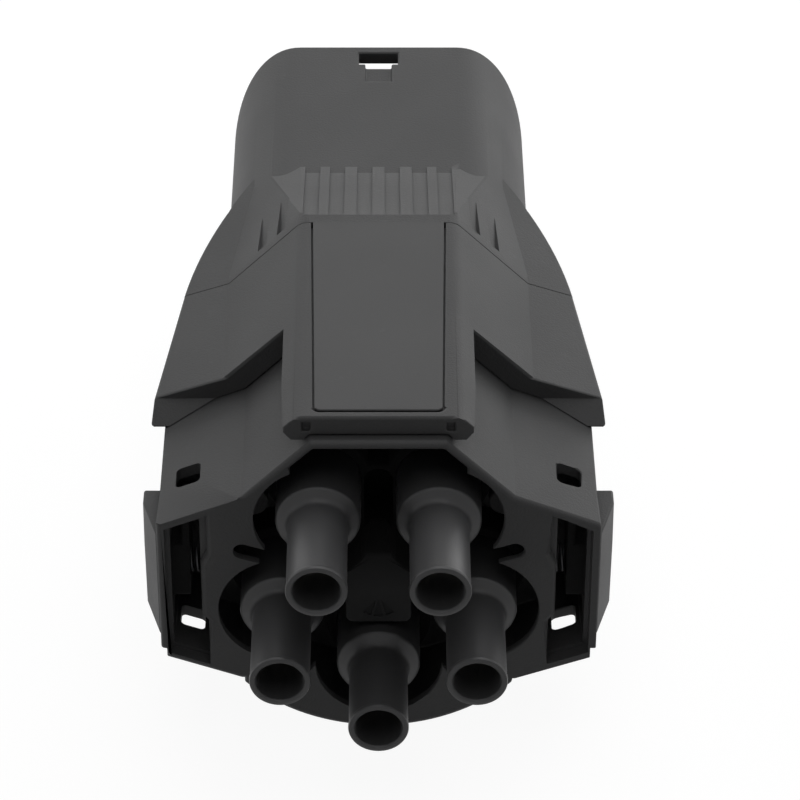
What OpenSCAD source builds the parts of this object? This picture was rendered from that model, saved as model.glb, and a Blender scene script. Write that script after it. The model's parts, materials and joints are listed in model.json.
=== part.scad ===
// Charging adapter: five contact tubes in a ring at the front, a hollow plug sleeve at the rear.
// X runs to the right, +Y to the rear, +Z up. The origin is under the middle of the adapter,
// on the flat that it lies on. Inside the file every piece is drawn around the centre of the
// contact ring, with Y = 0 on the front plate, and place() moves it to the origin at the end.

/* [Contact ring] */
// Radius of the circle that the five contacts stand on
ring_r = 18.5; // [17.5:0.5:19.5]
// Outer diameter of a contact tube
tube_od = 11; // [10.5:0.1:11.4]
// Inner diameter of a contact tube
tube_bore = 8.4; // [8:0.1:8.8]
// Reach of the upper four tubes ahead of the front plate
tube_reach = 22.4; // [18:0.1:26]
// How much shorter the bottom tube is
short_by = 2; // [0:0.5:4]
// Diameter of the collar at a tube's root
collar_od = 15.4; // [14.6:0.1:16]
// Diameter of the pins that the contacts take, and of the contacts' own rear pins
pin_d = 6; // [5:0.1:6.2]
// How deep a contact sits inside the mouth of its tube
contact_recess = 11; // [8:0.5:12]
// Depth of the socket in a contact
socket_depth = 20; // [15:1:22]

/* [Contact frame] */
// Height of the frame's top above the ring's centre
frame_top = 32.5; // [32:0.5:34]
// Where the frame's corner facets cross the axes
frame_diag = 44.7; // [44.2:0.1:45]
// Half width of the frame where its corner facet ends
frame_kink = 24.5; // [24:0.25:25]
// Half width of the frame at its front edge
frame_half_w = 40.1; // [39.4:0.1:40.4]
// Radius of the frame's round underside
frame_belly_r = 34; // [33.7:0.1:34.4]
// Wall of the frame
frame_wall = 2.2; // [2:0.1:2.6]
// How far the frame's front plate stands ahead of the cover's tongue
frame_ahead = 2.2; // [1.6:0.1:2.6]
// Thickness of the rim around the front plate's openings
front_rim = 1.4; // [1.2:0.1:1.8]
// Length of the frame
frame_len = 52; // [50:1:54]
// Thickness of the front plate
plate_t = 1.5; // [1.2:0.1:2]
// Radius of the five round openings in the front plate
petal_r = 11.7; // [11.2:0.1:11.9]

/* [Front cover] */
// Height of the cover's top and of its flat underside from the ring's centre
cover_top = 36.5; // [36:0.5:38]
// How far the cover's corner facets cross the axes beyond the frame's
cover_diag_step = 6.5; // [6.3:0.1:7.3]
// Wall of the cover
cover_wall = 2.4; // [2:0.1:2.6]
// Distance from the front plate to the cover's skirt
skirt_y = 31; // [29:0.5:32]
// Distance from the frame's rear end to the seam between cover and rear shell
seam_behind = 10.4; // [10:0.1:12]
// Half width of the tongue at its front end
tongue_half_w = 16.9; // [16.4:0.1:17.4]

/* [Label plate] */
// Half width of the label plate at its front end
label_half_w = 11.3; // [10:0.1:12]
// Thickness of the label plate
label_t = 1.2; // [1:0.1:1.5]
// Width of the groove around the label plate
label_gap = 0.4; // [0.2:0.05:0.6]

/* [Rear shell] */
// Distance from the seam to the rear end of the sleeve
sleeve_behind = 78.6; // [74:0.2:83]
// Half height of the sleeve
sleeve_half_h = 28.6; // [28:0.1:29.5]
// Half width of the sleeve's flat top
sleeve_flat = 16.2; // [15:0.2:17]
// Width of the sleeve's oval corners
sleeve_corner = 14.5; // [14:0.1:15.2]
// Wall of the sleeve and shoulder
sleeve_wall = 2.7; // [2.2:0.1:3]
// Width of the latch window in the sleeve
latch_w = 8.1; // [7:0.1:9]
// Length of the latch window
latch_l = 4.5; // [4:0.1:6]
// Depth of the grip grooves on the shoulder
groove_depth = 0.6; // [0.4:0.1:1]
// Width of the grip grooves
groove_w = 3; // [2.4:0.1:3.6]

/* [Side buttons] */
// Height of a button
button_h = 23.8; // [22:0.2:25]
// Length of a button
button_l = 13; // [12:0.25:13.5]
// How far a button stands out at its rear edge
button_proud = 3.4; // [3:0.1:3.7]
// Travel of a button
button_travel = 2; // [1.5:0.1:2.2]

/* [Clearances] */
// Gap around pieces that seat in one another
seat_gap = 0.2; // [0.1:0.05:0.3]
// Gap around a button in its opening
slide_gap = 0.3; // [0.2:0.05:0.4]
// Radial gap around a screw
screw_gap = 0.1; // [0.05:0.05:0.2]

/* [Hidden] */
// Contacts are counted in the order upper left, upper right, lower left, lower right, bottom
TUBE_ANGLES = [126, 54, 198, 342, 270];

// Round parts
$fn = 64;
big = 200;
spare = 10;

// Colours
charcoal = [0.12, 0.12, 0.125];
dark = [0.06, 0.06, 0.065];
tube_grey = [0.16, 0.16, 0.165];
brass = [0.80, 0.64, 0.32];
steel = [0.62, 0.63, 0.65];
board_green = [0.10, 0.32, 0.18];

// The frame's outline
frame_side_slope = 0.404;
frame_low_slope = 0.372;
frame_low_z = -16.7;
frame_step_z = -14.7;
frame_step = 1.1;
frame_front = -frame_ahead;
frame_low_in = 25.3;
frame_belly_half = 24.8;
frame_wide_y = 7;
frame_mid_y = 28;
frame_mid_half_w = frame_half_w - 0.4;
frame_rear_half_w = frame_half_w - 3.2;
rear_belly_r = frame_belly_r - 0.6;

// The cover's outline
cover_diag = frame_diag + cover_diag_step;
seam_y = frame_len + seam_behind;
sleeve_end = seam_y + sleeve_behind;
cover_kink = 28.8;
cover_side_slope = 0.34;
cover_round = 3.6;
cover_seam_half_w = frame_half_w - 2.6;
cover_taper = 0.136;
fang_y = skirt_y - 4.2;
fang_z = 14.5;
notch_y = seam_y - 12.4;
tongue_front = 0;
tongue_rear_half_w = tongue_half_w + 1.4;
tongue_depth = 31.5;
lip_notch_x = 12;
rim_depth = 5;

// The label's recess
label_front = 2.3;
label_rear_half_w = label_half_w + 1.15;
label_corner = 1;
peg_r = 1.5;
peg_len = 1.2;
peg_y = [14, seam_y - 12.4];

// The shoulder
band_end = seam_y + 2.7;
ramp_end = seam_y + 32;
sleeve_start = seam_y + 21.6;
shoulder_end = ramp_end + 9.6;
shoulder_taper = 0.09;
ridge_fall = 0.3;
ridge_shift = 0.8;
side_arc_r = 95;
side_arc_angle = 8.5;
groove_x = [2.7, 8.1, 13];
corner_groove_x = [18.9, 22.6];
corner_groove_l = 13;
corner_groove_depth = 1.6 * groove_depth;
corner_groove_angle = atan(corner_groove_depth / corner_groove_l) - atan(shoulder_taper / sqrt(2));
spigot_len = 6;
spigot_t = 1.4;
spigot_side_i = 2;
spigot_root = 4;
ledge_y = seam_y + 32.6;
ledge_t = 3;
ledge_in = 2.2;
latch_edge = 6.9;
latch_way_l = 6.9;
latch_way_depth = 1.1;
oval_power = 0.93;

// Inside the frame
top_open_half_w = 15.8;
top_open_z = frame_top - front_rim;
slot_w = 3.3;
slot_r = 27.6;
plate_half_w = frame_half_w - 7.85;
partition_t = 1.5;
partition_low_z = -8;
channel_end = 22;
rib_y = 16.2;
rib_t = 2.5;
boss_y = 13;
boss_r = 3;
flange_y = rib_y + rib_t;
flange_t = 4;
flange_end = flange_y + flange_t;
hub_y = 10;
tower_r = collar_od / 2 + 2;
post_half_w = 6;
post_peak_z = 5;
post_low_z = -9.9;
neck_half_w = 1.3;
neck_top = 7;
keyway_w = 5.4;
keyway_top = 17.4;
window_x = 34.6;
window_top_y = 9.9;
window_low_y = 8.8;
window_w = 4.5;
window_l = 5.6;

// Screws: shank and head sizes
screw_r = 1.5;
head_r = 2.75;
head_t = 2;
small_r = 1.1;
small_head_r = 2;
small_head_t = 1.4;
retainer_screw_l = 10;
board_screw_l = 7;
mid_screw_l = 9;
post_screw_l = 22;
screw_tip = 1;
screw_ring_r = 24.5;
SCREW_ANGLES = [18, 90, 162, 234, 306];
POST_ANGLES = [18, 162, 234, 306];

// Contacts
socket_r = tube_bore / 2 - seat_gap;
shoulder_r = 5.2;
shoulder_y = 16;
contact_end = sleeve_end - 15;
shank_r = pin_d / 2 + 0.3;
shank_gap = 0.05;
tube_flange_r = 8.9;
collar_front = frame_front - 0.1;
tube_flange_t = 2;

// Board, plates and insert behind the contacts
retainer_r = 27.5;
retainer_t = 3;
retainer_y = flange_end + seat_gap;
board_y = 38;
board_t = 1.6;
board_r = 26;
board_post_r = 3;
BOARD_ANGLES = [90, 210, 330];
board_screw_r = 9;
mid_y = frame_len;
mid_t = 3;
mid_post_r = 3.5;
mid_screw_x = cover_seam_half_w - 8;
mid_screw_z = frame_diag - frame_kink - 8.2;
mid_boss_l = 12;
mid_boss_r = 3.2;
mid_hole_r = 9;
web_t = 1.8;
insert_y = ledge_y + ledge_t;
insert_t = 4;
insert_nose = 6;
boss_out = 4;
shank_end = insert_y + insert_t + boss_out + seat_gap;
post_screw_y = insert_y + insert_t - head_t - 0.5;

// Buttons
button_z = -2.25;
button_front = 1;
button_crease = 0.4;
button_flat_l = 3.7;
button_front_proud = 0.2;
button_back_in = 2.1;
button_flange = 1.3;
button_flange_t = 1.4;
button_stem = [5, 13];
button_stem_z = [-8, 4];
spring_r = 2.6;
spring_wire = 0.5;
spring_turns = 6;
pocket_depth = 4.5;

// Whole part
y_shift = -(sleeve_end - tube_reach) / 2;
z_shift = cover_top;

module place() {
  translate([0, y_shift, z_shift]) children();
}

// A flat shape in X and Z, drawn out along Y from y0 to y1
module slab(y0, y1) {
  translate([0, y1, 0]) rotate([90, 0, 0]) linear_extrude(y1 - y0) children();
}

// A flat shape in Y and Z, drawn out along X over the whole width
module across(half_w = big / 2) {
  translate([-half_w, 0, 0]) rotate([90, 0, 90]) linear_extrude(2 * half_w) children();
}

// A flat shape in X and Y, drawn out along Z over the whole height
module upright() {
  translate([0, 0, -big / 2]) linear_extrude(big) children();
}

module both_sides() {
  children();
  mirror([1, 0, 0]) children();
}

function ring_at(angle, radius = ring_r) = [radius * cos(angle), radius * sin(angle)];

module at_ring(angle, radius = ring_r) {
  p = ring_at(angle, radius);
  translate([p[0], 0, p[1]]) children();
}

// Turns a profile of radius and Y around an axis along Y
module turned() {
  rotate([-90, 0, 0]) rotate_extrude() children();
}

module rod(y0, y1, r) {
  slab(y0, y1) circle(r);
}

// Corner rounding: the points where a fillet of radius r leaves the two edges, and its centre
function unit(v) = v / norm(v);
function half_angle(a, p, b) = acos(unit(a - p) * unit(b - p)) / 2;
function fillet_ends(a, p, b, r) =
  r <= 0 ? [p] : [
    p + unit(a - p) * r / tan(half_angle(a, p, b)),
    p + unit(b - p) * r / tan(half_angle(a, p, b))
  ];
function fillet_centre(a, p, b, r) = p + unit(unit(a - p) + unit(b - p)) * r / sin(half_angle(a, p, b));

// A convex outline whose corners are rounded by the radii in rads
module rounded(pts, rads) {
  n = len(pts);
  polygon([for (i = [0:n - 1]) each fillet_ends(pts[(i + n - 1) % n], pts[i], pts[(i + 1) % n], rads[i])]);
  for (i = [0:n - 1])
    if (rads[i] > 0)
      translate(fillet_centre(pts[(i + n - 1) % n], pts[i], pts[(i + 1) % n], rads[i])) circle(rads[i]);
}

// The half width at which a corner facet meets the side facet, for an outline drawn in by i
function kink_x(kink, slope, i) = kink - i * (sqrt(2) - sqrt(1 + slope * slope)) / (1 - slope);
function side_z(diag, kink, slope, i, x) = diag - kink - slope * (x - kink) - i * sqrt(1 + slope * slope);

// Outline of the cover and shoulder, drawn in by i; only the outside has rounded edges
module cover_outline(i = 0, half_w = frame_half_w + 9) {
  t = cover_top - i;
  d = cover_diag - i * sqrt(2);
  k = kink_x(cover_kink, cover_side_slope, i);
  w = half_w;
  z = side_z(cover_diag, cover_kink, cover_side_slope, i, w);
  r = i < 1 ? cover_round - i : 0;
  rounded(
    [[d - t, t], [k, d - k], [w, z], [w, -z], [k, k - d], [d - t, -t],
     [t - d, -t], [-k, k - d], [-w, -z], [-w, z], [-k, d - k], [t - d, t]],
    [r, 0, 0, 0, 0, r, r, 0, 0, 0, 0, r]
  );
}

// Outline of the contact frame, drawn in by i; the belly is the round underside
module frame_outline(i = 0, belly_r = frame_belly_r, half_w = frame_half_w + 5) {
  t = frame_top - i;
  d = frame_diag - i * sqrt(2);
  k = kink_x(frame_kink, frame_side_slope, i);
  w = half_w;
  z = side_z(frame_diag, frame_kink, frame_side_slope, i, w);
  low_i = i * sqrt(1 + frame_low_slope * frame_low_slope);
  low_side = frame_low_z + low_i + frame_low_slope * (w - frame_half_w);
  low_in = frame_low_z + low_i - frame_low_slope * (frame_half_w - frame_low_in);
  polygon([
    [d - t, t], [k, d - k], [w, z], [w, low_side], [frame_low_in, low_in],
    [-frame_low_in, low_in], [-w, low_side], [-w, z], [-k, d - k], [t - d, t]
  ]);
  intersection() {
    circle(belly_r - i);
    translate([-frame_belly_half + i, -big / 2]) square([2 * (frame_belly_half - i), big / 2]);
  }
}

// Plan of the frame: it widens a little behind the front plate and narrows inside the cover
module frame_plan(i = 0) {
  polygon([
    [-frame_half_w + i, frame_front - 1], [frame_half_w - i, frame_front - 1],
    [frame_mid_half_w - i, frame_wide_y],
    [frame_mid_half_w - i, frame_mid_y], [frame_rear_half_w - i, frame_len + 1],
    [-frame_rear_half_w + i, frame_len + 1], [-frame_mid_half_w + i, frame_mid_y],
    [-frame_mid_half_w + i, frame_wide_y]
  ]);
}

module frame_envelope(i = 0, y0 = frame_front, y1 = frame_len) {
  difference() {
    intersection() {
      union() {
        slab(y0, min(y1, frame_mid_y + 1.5)) frame_outline(i);
        slab(y0, y1) frame_outline(i, rear_belly_r);
      }
      upright() frame_plan(i);
    }
    both_sides()
      translate([frame_half_w - frame_step - i, y0 - 1, frame_step_z - big + i]) cube([big, big, big]);
  }
}

// The front plate's opening: five round petals, slots between them and a way up to the top wall
module plate_opening() {
  for (a = TUBE_ANGLES) translate(ring_at(a)) circle(petal_r);
  circle(ring_r - 4);
  for (a = POST_ANGLES)
    rotate(a) {
      translate([0, -slot_w / 2]) square([slot_r - slot_w / 2, slot_w]);
      translate([slot_r - slot_w / 2, 0]) circle(slot_w / 2);
    }
  rounded(
    [[-top_open_half_w, ring_r / 2], [top_open_half_w, ring_r / 2],
     [top_open_half_w, top_open_z], [-top_open_half_w, top_open_z]],
    [0, 0, 3, 3]
  );
}

// Room for the insulator's hub inside the frame's rib
module hub_outline(grow = 0) {
  for (a = TUBE_ANGLES) translate(ring_at(a)) circle(tower_r + grow);
  circle(ring_r + grow);
}

module snap_window(y) {
  translate([window_x - window_w / 2, y - window_l / 2, 0])
    linear_extrude(big / 2)
      rounded([[0, 0], [window_w, 0], [window_w, window_l], [0, window_l]], [1, 1, 1, 1]);
}

// The opening in the frame's side wall that a button moves in
module button_opening() {
  translate([plate_half_w, button_front - slide_gap, button_z - button_h / 2 - slide_gap])
    cube([big, button_l + 2 * slide_gap, button_h + 2 * slide_gap]);
}

module contact_frame() {
  color(charcoal) place() {
    difference() {
      frame_envelope();
      frame_cavity();
      slab(frame_front - 1, frame_front + plate_t + 1)
        intersection() {
          plate_opening();
          frame_outline(front_rim);
        }
      both_sides() {
        side_mouth();
        snap_window(window_top_y);
        mirror([0, 0, 1]) snap_window(window_low_y);
        button_opening();
      }
    }
    intersection() {
      frame_rib();
      upright() frame_plan();
    }
    both_sides() partition();
    for (p = mid_screw_places()) mid_boss(p);
  }
}

// Everything inside the frame's wall
module frame_cavity() {
  intersection() {
    slab(frame_front + plate_t, frame_len + 1) frame_outline(frame_wall, rear_belly_r);
    upright() frame_plan(frame_wall);
  }
}

// The channel beside the front plate, open to the front
module side_mouth() {
  edge = plate_half_w - 1.2;
  intersection() {
    slab(frame_front - 1, frame_front + plate_t + 1) frame_outline(front_rim);
    upright() frame_plan(front_rim);
    slab(frame_front - 1, frame_front + plate_t + 1)
      polygon([
        [edge, big / 2], [edge, 7.5], [plate_half_w, 5], [plate_half_w, -7],
        [edge, -8.5], [edge, -big / 2], [big / 2, -big / 2], [big / 2, big / 2]
      ]);
  }
}

// The rib that the insulator seats on, with a boss for each retainer screw
module frame_rib() {
  difference() {
    union() {
      slab(rib_y, flange_y) frame_outline(frame_wall / 2, rear_belly_r);
      for (a = SCREW_ANGLES) at_ring(a, screw_ring_r) rod(boss_y, rib_y + 0.1, boss_r);
    }
    slab(boss_y - 1, flange_y + 1) hub_outline(seat_gap);
    both_sides() translate([plate_half_w - 0.1, 0, -big / 2]) cube([big, channel_end, big]);
    for (a = SCREW_ANGLES) at_ring(a, screw_ring_r) rod(boss_y + 1.2, flange_y + 1, screw_r + screw_gap);
  }
}

// The wall between the contacts' space and a button's channel, and the channel's rear wall
module partition() {
  intersection() {
    union() {
      translate([plate_half_w - partition_t, frame_front + plate_t, partition_low_z])
        cube([partition_t, channel_end - frame_front, big]);
      translate([plate_half_w - partition_t, channel_end, -big / 2]) cube([spare, plate_t, big]);
    }
    slab(frame_front + plate_t, frame_len) frame_outline(frame_wall / 2, rear_belly_r);
    upright() frame_plan(frame_wall / 2);
  }
}

function mid_screw_places() = [
  for (sx = [-1, 1]) for (sz = [-1, 1]) [sx * mid_screw_x, sz * mid_screw_z]
];

module mid_boss(p) {
  difference() {
    union() {
      translate([p[0], 0, p[1]]) rod(mid_y - mid_boss_l, mid_y, mid_boss_r);
      translate([p[0] > 0 ? p[0] : -frame_rear_half_w + 1, mid_y - mid_boss_l, p[1] - web_t / 2])
        cube([frame_rear_half_w - 1 - mid_screw_x, mid_boss_l, web_t]);
    }
    translate([p[0], 0, p[1]]) rod(mid_y + mid_t - mid_screw_l - screw_tip, mid_y + 1, screw_r + screw_gap);
  }
}

// The front cover: a faceted ring with a tongue over the frame's top
module cover_side_plan(i = 0) {
  w0 = cover_seam_half_w + cover_taper * (seam_y - skirt_y + spare) - i;
  w1 = cover_seam_half_w - cover_taper * spare - i;
  polygon([[-w0, skirt_y - spare], [w0, skirt_y - spare], [w1, seam_y + spare], [-w1, seam_y + spare]]);
}

// What is cut away ahead of the skirt, seen from the side: the skirt ends in two points a side
module skirt_cut() {
  skirt_half_w = cover_seam_half_w + cover_taper * (seam_y - skirt_y);
  side_z0 = side_z(cover_diag, cover_kink, cover_side_slope, 0, skirt_half_w);
  polygon([
    [-5, big / 2], [skirt_y, big / 2], [skirt_y, side_z0], [fang_y, fang_z], [notch_y, 0],
    [fang_y, -fang_z], [skirt_y, -side_z0], [skirt_y, -big / 2], [-5, -big / 2]
  ]);
}

module tongue() {
  intersection() {
    slab(tongue_front, skirt_y + 1) cover_outline();
    upright()
      polygon([
        [-tongue_half_w, tongue_front], [tongue_half_w, tongue_front],
        [tongue_rear_half_w, skirt_y + 1], [-tongue_rear_half_w, skirt_y + 1]
      ]);
    slab(tongue_front, skirt_y + 1)
      polygon([
        [tongue_half_w - 1.3, tongue_depth], [tongue_rear_half_w + 1, tongue_depth + 4.5],
        [tongue_rear_half_w + 1, big / 2], [-tongue_rear_half_w - 1, big / 2],
        [-tongue_rear_half_w - 1, tongue_depth + 4.5], [1.3 - tongue_half_w, tongue_depth]
      ]);
  }
}

function label_half(y) =
  label_half_w + (label_rear_half_w - label_half_w) * (y - label_front) / (seam_y - label_front);

module label_plan(grow = 0) {
  w0 = label_half(label_front) + grow;
  w1 = label_half(seam_y) + grow;
  r = label_corner + grow;
  rounded([[-w0, label_front - grow], [w0, label_front - grow], [w1, seam_y], [-w1, seam_y]], [r, r, 0, 0]);
}

module label_pegs(r, len) {
  for (y = peg_y)
    both_sides()
      translate([label_half_w - 4, y, cover_top - label_t - len]) cylinder(h = len, r = r);
}

module front_cover() {
  color(charcoal) place()
    difference() {
      union() {
        difference() {
          intersection() {
            slab(fang_y - 1, seam_y) cover_outline();
            upright() cover_side_plan();
          }
          across() skirt_cut();
        }
        tongue();
      }
      intersection() {
        slab(skirt_y + rim_depth, seam_y + 1) cover_outline(cover_wall);
        upright() cover_side_plan(spigot_side_i - seat_gap);
      }
      cover_bore();
      translate([0, 0, cover_top - label_t]) linear_extrude(5) label_plan(label_gap);
      label_pegs(peg_r + seat_gap / 2, peg_len + 1);
      both_sides() lip_notch();
    }
}

// Room for the frame inside the cover, with the seat gap all round
module cover_bore() {
  frame_envelope(-seat_gap, -1, frame_len + seat_gap);
}

module lip_notch() {
  translate([lip_notch_x, -1, cover_top - 3.1]) cube([1.6, 2, 2]);
}

module label_plate() {
  color(charcoal) place() {
    translate([0, 0, cover_top - label_t]) linear_extrude(label_t) label_plan();
    label_pegs(peg_r, peg_len);
  }
}

// The rear shell
module sleeve_outline(i = 0) {
  steps = 24;
  a = sleeve_corner - i;
  b = sleeve_half_h - i;
  quarter = [
    for (k = [0:steps])
      [sleeve_flat + a * pow(sin(90 * k / steps), oval_power), b * pow(cos(90 * k / steps), oval_power)]
  ];
  polygon(concat(
    quarter,
    [for (k = [steps - 1:-1:0]) [quarter[k][0], -quarter[k][1]]],
    [for (k = [0:steps]) [-quarter[k][0], -quarter[k][1]]],
    [for (k = [steps - 1:-1:0]) [-quarter[k][0], quarter[k][1]]]
  ));
}

// Plan of the shoulder: each side is an arc that carries on from the cover's side
module shoulder_plan(i = 0) {
  c = cover_seam_half_w - side_arc_r * cos(side_arc_angle);
  y = seam_y - side_arc_r * sin(side_arc_angle);
  intersection() {
    translate([c, y]) circle(side_arc_r - i, $fn = 180);
    translate([-c, y]) circle(side_arc_r - i, $fn = 180);
  }
}

// Side view of the shoulder: a short flat, then a ramp down to the sleeve
module shoulder_profile(i = 0) {
  t = cover_top - i;
  slope = (cover_top - sleeve_half_h) / (ramp_end - band_end);
  drop = slope * (shoulder_end - band_end);
  e = band_end - i * slope / 2;
  polygon([
    [seam_y - spare, t], [e, t], [shoulder_end, t - drop],
    [shoulder_end, drop - t], [e, -t], [seam_y - spare, -t]
  ]);
}

// Corner facets of the shoulder close in on the sleeve behind the short flat
module corner_plane(i = 0) {
  tilt = atan(shoulder_taper / sqrt(2));
  d = (cover_diag - i * sqrt(2)) / 2;
  translate([d, band_end, d])
    rotate([0, -45, 0]) rotate([0, 0, tilt]) translate([0, -big, -big / 2]) cube([big, 2 * big, big]);
}

// A corner facet ends where it meets the side facet, which runs straight on
module corner_cut(i) {
  intersection() {
    corner_plane(i);
    slab(seam_y - spare, shoulder_end + 1)
      polygon([
        [0, side_z(cover_diag, cover_kink, cover_side_slope, i, 0)],
        [big, side_z(cover_diag, cover_kink, cover_side_slope, i, big)], [big, big], [0, big]
      ]);
  }
}

// A facet between the ramp and a corner facet; it opens out from the point where both begin
module ridge_cut(i) {
  back = (sleeve_half_h - cover_top + ridge_fall * ridge_shift) / (ramp_end - band_end);
  translate([cover_diag - cover_top, band_end, cover_top])
    rotate([asin(back / norm([ridge_fall, back, 1])), atan(ridge_fall), 0])
      translate([-big / 2, -big / 2, -i]) cube([big, big, big]);
}

module shoulder(i = 0, y0 = seam_y, y1 = shoulder_end) {
  difference() {
    intersection() {
      slab(y0, y1) cover_outline(i);
      upright() shoulder_plan(i);
      across() shoulder_profile(i);
    }
    both_sides() {
      corner_cut(i);
      ridge_cut(i);
      mirror([0, 0, 1]) {
        corner_cut(i);
        ridge_cut(i);
      }
    }
  }
}

ramp_angle = atan((cover_top - sleeve_half_h) / (ramp_end - band_end));

// Grooves down the ramp, and grooves that run out along the corner facets; mirrored to all four corners
module grip_grooves() {
  for (x = groove_x)
    translate([x - groove_w / 2, band_end, cover_top - groove_depth])
      rotate([-ramp_angle, 0, 0]) cube([groove_w, (ramp_end - band_end) / cos(ramp_angle), spare]);
  for (x = corner_groove_x)
    translate([x, band_end, cover_diag - x])
      rotate([0, 45, 0]) rotate([corner_groove_angle, 0, 0])
        translate([-groove_w / 2, 0, -corner_groove_depth]) cube([groove_w * 0.8, corner_groove_l + 2, spare]);
}

// The latch window, and the shallow way that leads to it from the front
module latch_window() {
  w_front = sleeve_end - latch_edge;
  translate([-latch_w / 2, w_front, 0]) cube([latch_w, latch_l, sleeve_half_h + 1]);
  translate([-latch_w / 3, w_front - latch_way_l, sleeve_half_h - latch_way_depth])
    cube([2 * latch_w / 3, latch_way_l + 1, 5]);
}

module rear_shell() {
  color(charcoal) place()
    difference() {
      union() {
        difference() {
          shoulder();
          both_sides() {
            grip_grooves();
            mirror([0, 0, 1]) grip_grooves();
          }
        }
        slab(sleeve_start, sleeve_end) sleeve_outline();
        spigot(0, seam_y - spigot_len, seam_y + 1);
      }
      spigot(spigot_t, seam_y - spigot_len - 1, seam_y + spigot_root + 0.1);
      shoulder(sleeve_wall, seam_y + spigot_root, ledge_y);
      slab(sleeve_start, ledge_y) sleeve_outline(sleeve_wall);
      slab(ledge_y - 1, ledge_y + ledge_t + 1) sleeve_outline(sleeve_wall + ledge_in);
      slab(ledge_y + ledge_t, sleeve_end + 1) sleeve_outline(sleeve_wall);
      latch_window();
    }
}

// The body of the lip that registers the shell inside the cover, drawn in by i
module spigot(i, y0, y1) {
  intersection() {
    slab(y0, y1) cover_outline(cover_wall + seat_gap + i);
    upright() cover_side_plan(spigot_side_i + i);
  }
}

// The insulator that carries the contact tubes
module insulator_block() {
  color(dark) place()
    difference() {
      union() {
        slab(hub_y, flange_y + 1) hub_outline();
        intersection() {
          slab(flange_y, flange_end) frame_outline(frame_wall + seat_gap, rear_belly_r);
          translate([-plate_half_w + partition_t + seat_gap, 0, -big / 2])
            cube([2 * (plate_half_w - partition_t - seat_gap), flange_end + 1, big]);
        }
        centre_post();
      }
      for (a = TUBE_ANGLES)
        at_ring(a) {
          rod(hub_y - 1, flange_end + 1, collar_od / 2 + seat_gap / 2);
          rod(flange_end - tube_flange_t - seat_gap / 2, flange_end + 1, tube_flange_r + seat_gap / 2);
        }
      for (a = SCREW_ANGLES) at_ring(a, screw_ring_r) rod(hub_y - 1, flange_end + 1, screw_r + screw_gap);
      keyway();
    }
}

// A house-shaped post in the middle of the ring; a neck behind its peak slopes up into the keyway
module centre_post() {
  difference() {
    slab(-0.5, hub_y + 1)
      rounded(
        [[0, post_peak_z], [-post_half_w, 1], [-post_half_w, post_low_z],
         [post_half_w, post_low_z], [post_half_w, 1]],
        [0, 0, 1.5, 1.5, 0]
      );
    across() polygon([[-1, -2.7], [-0.5, -2.7], [1.2, 7], [-1, 7]]);
    post_relief();
  }
  intersection() {
    slab(0, hub_y)
      polygon([
        [-post_half_w, 1], [-3.2, 3.4], [-1.9, 6], [-neck_half_w, neck_top],
        [neck_half_w, neck_top], [1.9, 6], [3.2, 3.4], [post_half_w, 1]
      ]);
    across() polygon([[0.7, 0], [0.7, post_peak_z], [8, neck_top], [hub_y, neck_top], [hub_y, 0]]);
  }
}

// Three shallow triangles sunk in the post's face
module post_relief() {
  for (a = [-28, 0, 28])
    translate([0, 0, -3.9]) rotate([0, a, 0])
      slab(-1, -0.2) polygon([[-0.9, -4.6], [0.9, -4.6], [0, -0.8]]);
}

module keyway() {
  slab(hub_y - 1, flange_y) {
    translate([-keyway_w / 2, post_peak_z]) square([keyway_w, keyway_top - post_peak_z - keyway_w / 2]);
    translate([0, keyway_top - keyway_w / 2]) circle(keyway_w / 2);
  }
}

function tube_tip(i) = -(i == 4 ? tube_reach - short_by : tube_reach);

// A contact tube: mouth with a small bead, collar, and a flange behind the insulator
module tube_profile(i) {
  tip = tube_tip(i);
  r = tube_od / 2;
  b = tube_bore / 2;
  c = collar_od / 2;
  edge = 0.5;
  difference() {
    union() {
      translate([b - 0.01, tip + edge]) square([r - b + 0.01, -tip + 1]);
      translate([b, tip]) square([r - b - edge, edge + 1]);
      translate([r - edge, tip + edge]) circle(edge, $fn = 24);
      translate([0, collar_front])
        polygon([[b, -0.6], [r, -0.9], [r + 0.6, -0.4], [c - 0.5, 0], [c, 0.6], [c, 4], [b, 4]]);
      translate([b, collar_front + 3]) square([c - b, flange_end - collar_front - 3]);
      translate([b, flange_end - tube_flange_t]) square([tube_flange_r - b, tube_flange_t]);
    }
    polygon([[0, tip - 1], [b + 0.35, tip - 1], [b + 0.35, tip], [b, tip + 0.5], [0, tip + 0.5]]);
    translate([0, tip - 1]) square([b, shoulder_y - tip + 1]);
    translate([0, shoulder_y - 0.01]) square([shoulder_r + seat_gap, big]);
  }
}

module contact_tube(i) {
  color(tube_grey) place() at_ring(TUBE_ANGLES[i]) turned() tube_profile(i);
}

// A contact: slotted socket in the tube, a shoulder behind it, and a shank that ends in the rear pin
module contact_profile(i) {
  front = tube_tip(i) + contact_recess;
  s = pin_d / 2;
  tip_r = 1.2;
  difference() {
    union() {
      translate([0, front]) square([socket_r, shoulder_y - front + 1]);
      translate([0, shoulder_y + seat_gap / 2]) square([shoulder_r, flange_end - shoulder_y - seat_gap / 2]);
      translate([0, flange_end - 1]) square([shank_r, shank_end - flange_end + 1]);
      translate([0, flange_end - 1]) square([s, contact_end - tip_r - flange_end + 1]);
      translate([0, contact_end - tip_r - 0.01]) square([s - tip_r, tip_r + 0.01]);
      translate([s - tip_r, contact_end - tip_r]) circle(tip_r, $fn = 32);
    }
    translate([0, front - 1]) square([s, socket_depth + 1]);
    polygon([[0, front - 1], [s + 0.6, front - 1], [s + 0.6, front], [s, front + 0.8], [0, front + 0.8]]);
    translate([socket_r - 0.45, front + 3]) square([1, 1]);
    translate([-10, front - 2]) square([10, 200]);
  }
}

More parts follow.
